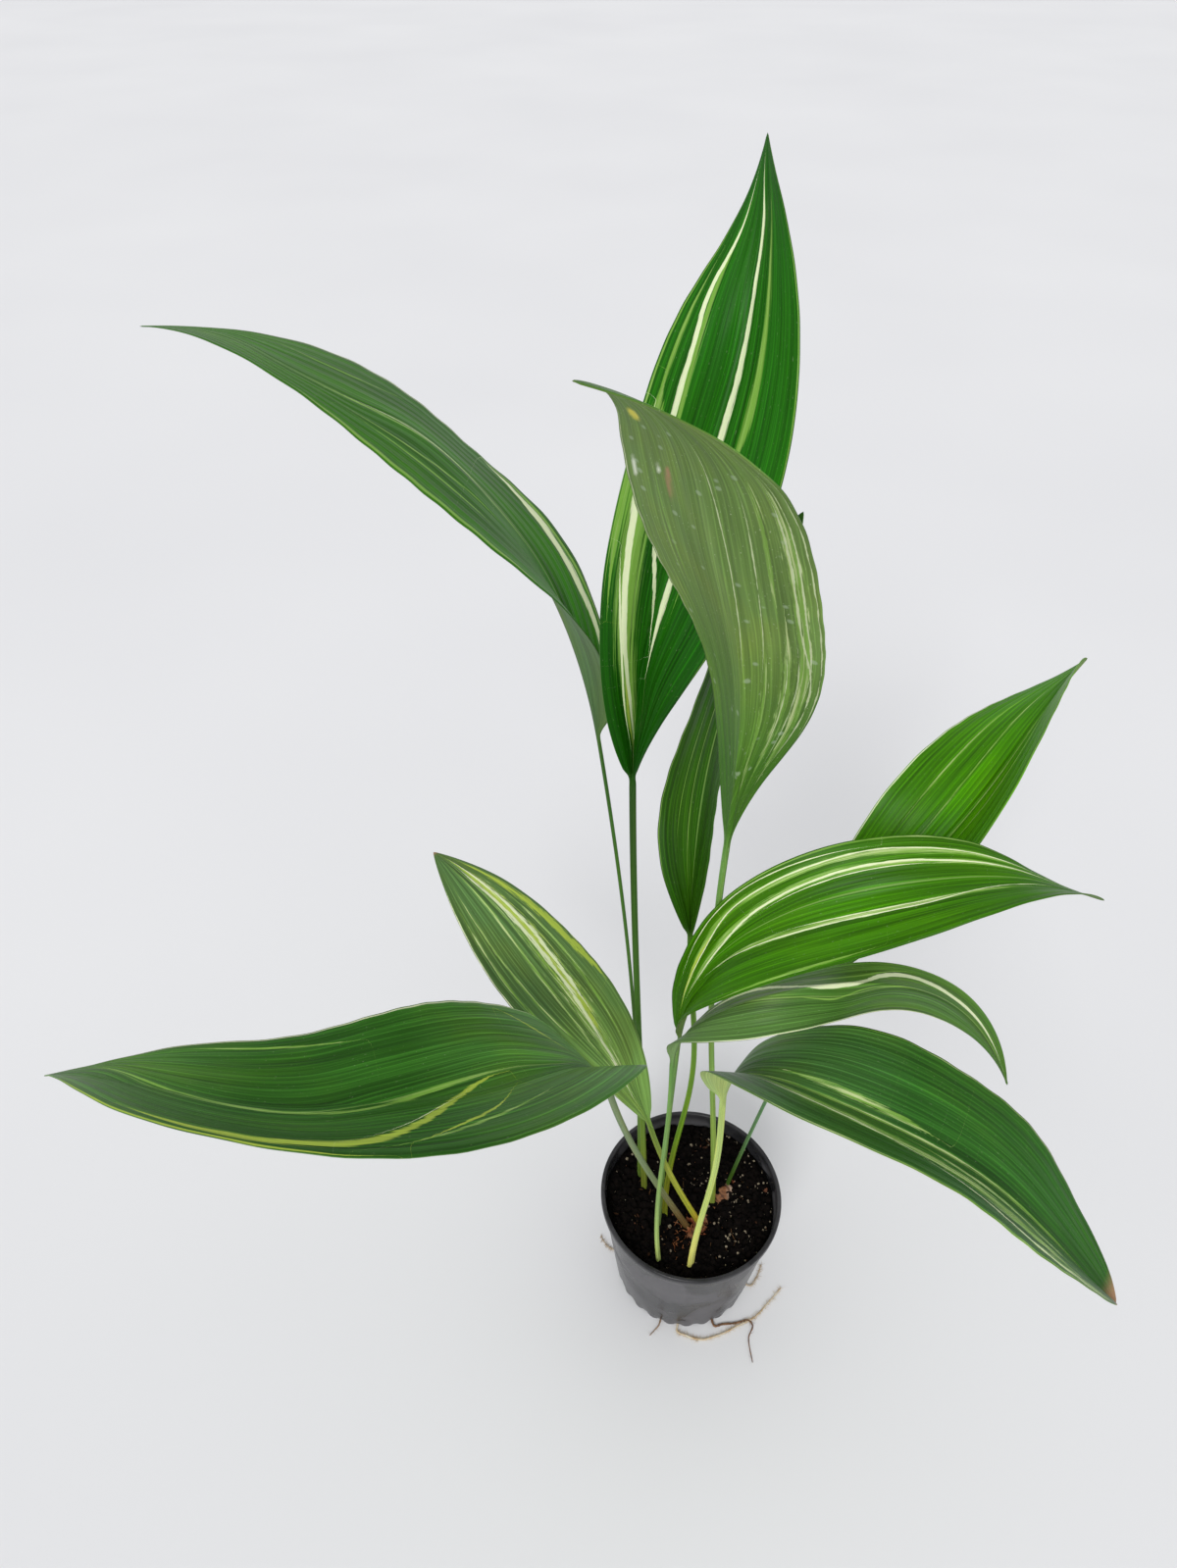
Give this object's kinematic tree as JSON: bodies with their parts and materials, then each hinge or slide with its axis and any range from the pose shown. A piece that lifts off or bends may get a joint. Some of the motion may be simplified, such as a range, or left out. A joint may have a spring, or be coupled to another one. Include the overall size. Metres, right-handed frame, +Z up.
{
  "type": "potted cast iron plant",
  "caption": "Potted foliage plant: long striped blades, upright and arching, on slim channelled stalks rising from a rhizome in a round tapered nursery pot with soil.",
  "frame": {"origin": "centre of the pot's flat base, on the floor the pot stands on", "axes": "+Z up out of the pot; -Y towards the side the plant is seen from; +X towards the arching leaves on that view's right"},
  "size_m": [0.5617, 0.3191, 0.7578],
  "materials": {
    "pot": "satin",
    "soil": "matte",
    "rhizome": "matte",
    "leaf": "satin"
  },
  "bodies": {
    "root": {"pot": "pot", "soil": "soil", "rhizome": "rhizome", "leaf_tall": "leaf", "leaf_left_high": "leaf", "leaf_turned": "leaf", "leaf_narrow": "leaf", "leaf_right_upper": "leaf", "leaf_right_back": "leaf", "leaf_right_mid": "leaf", "leaf_right_low": "leaf", "leaf_left_short": "leaf", "leaf_left_low": "leaf"}
  },
  "joints": []
}
